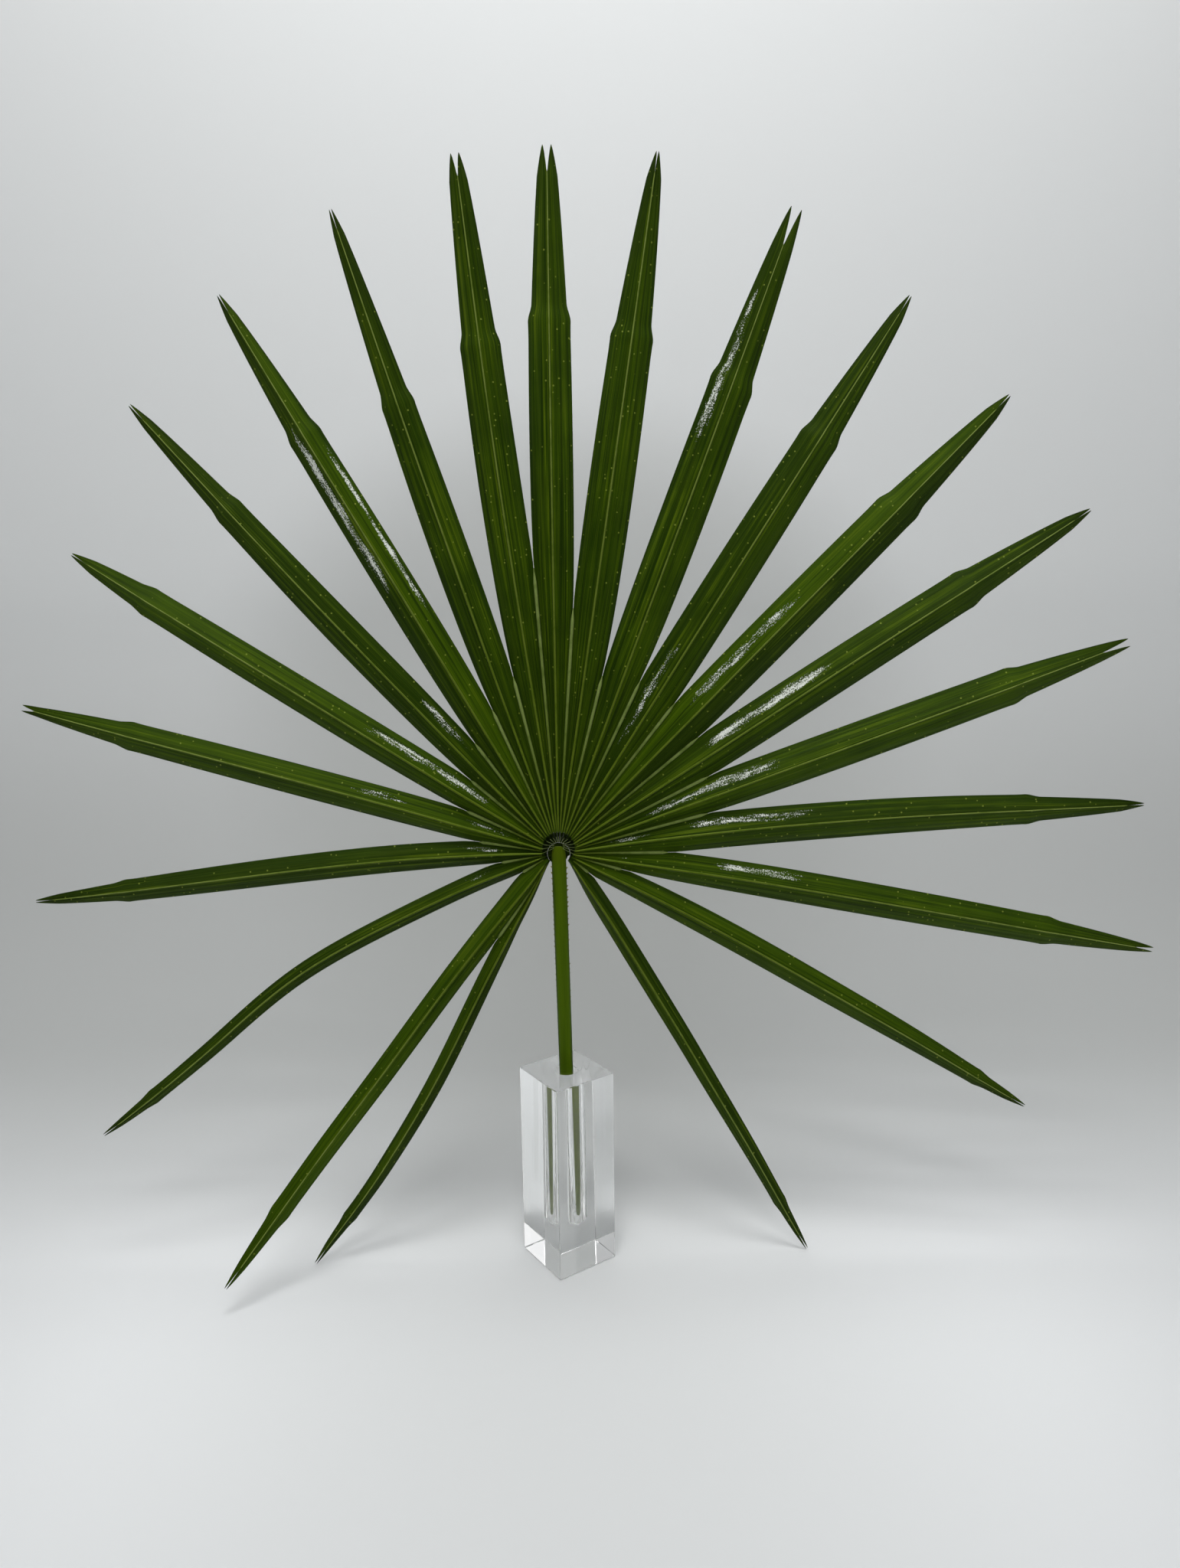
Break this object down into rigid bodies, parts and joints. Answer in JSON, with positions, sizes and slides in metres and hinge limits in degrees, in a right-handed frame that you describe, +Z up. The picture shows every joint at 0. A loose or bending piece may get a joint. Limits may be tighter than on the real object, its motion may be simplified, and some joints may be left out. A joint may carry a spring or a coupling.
{
  "type": "fan palm leaf in an acrylic block vase",
  "caption": "Cut fan palm leaf with long folded, fork-tipped leaflets on a toothed stalk, standing in a square clear acrylic block with a blind round bore.",
  "frame": {"origin": "centre of the acrylic block's underside, on the surface it stands on", "axes": "+Z up along the stalk, +X to the right across the fan, -Y towards a viewer facing the leaf's ridged face"},
  "size_m": [0.6388, 0.0852, 0.62],
  "materials": {
    "leaf_blade": "satin",
    "leaf_stalk": "satin",
    "clear_acrylic": "polished"
  },
  "bodies": {
    "root": {"vase_block": "clear_acrylic", "petiole": "leaf_stalk", "leaflet_01": "leaf_blade", "leaflet_02": "leaf_blade", "leaflet_03": "leaf_blade", "leaflet_04": "leaf_blade", "leaflet_05": "leaf_blade", "leaflet_06": "leaf_blade", "leaflet_07": "leaf_blade", "leaflet_08": "leaf_blade", "leaflet_09": "leaf_blade", "leaflet_10": "leaf_blade", "leaflet_11": "leaf_blade", "leaflet_12": "leaf_blade", "leaflet_13": "leaf_blade", "leaflet_14": "leaf_blade", "leaflet_15": "leaf_blade", "leaflet_16": "leaf_blade", "leaflet_17": "leaf_blade", "leaflet_18": "leaf_blade", "leaflet_19": "leaf_blade", "leaflet_20": "leaf_blade", "leaflet_21": "leaf_blade"}
  },
  "joints": []
}
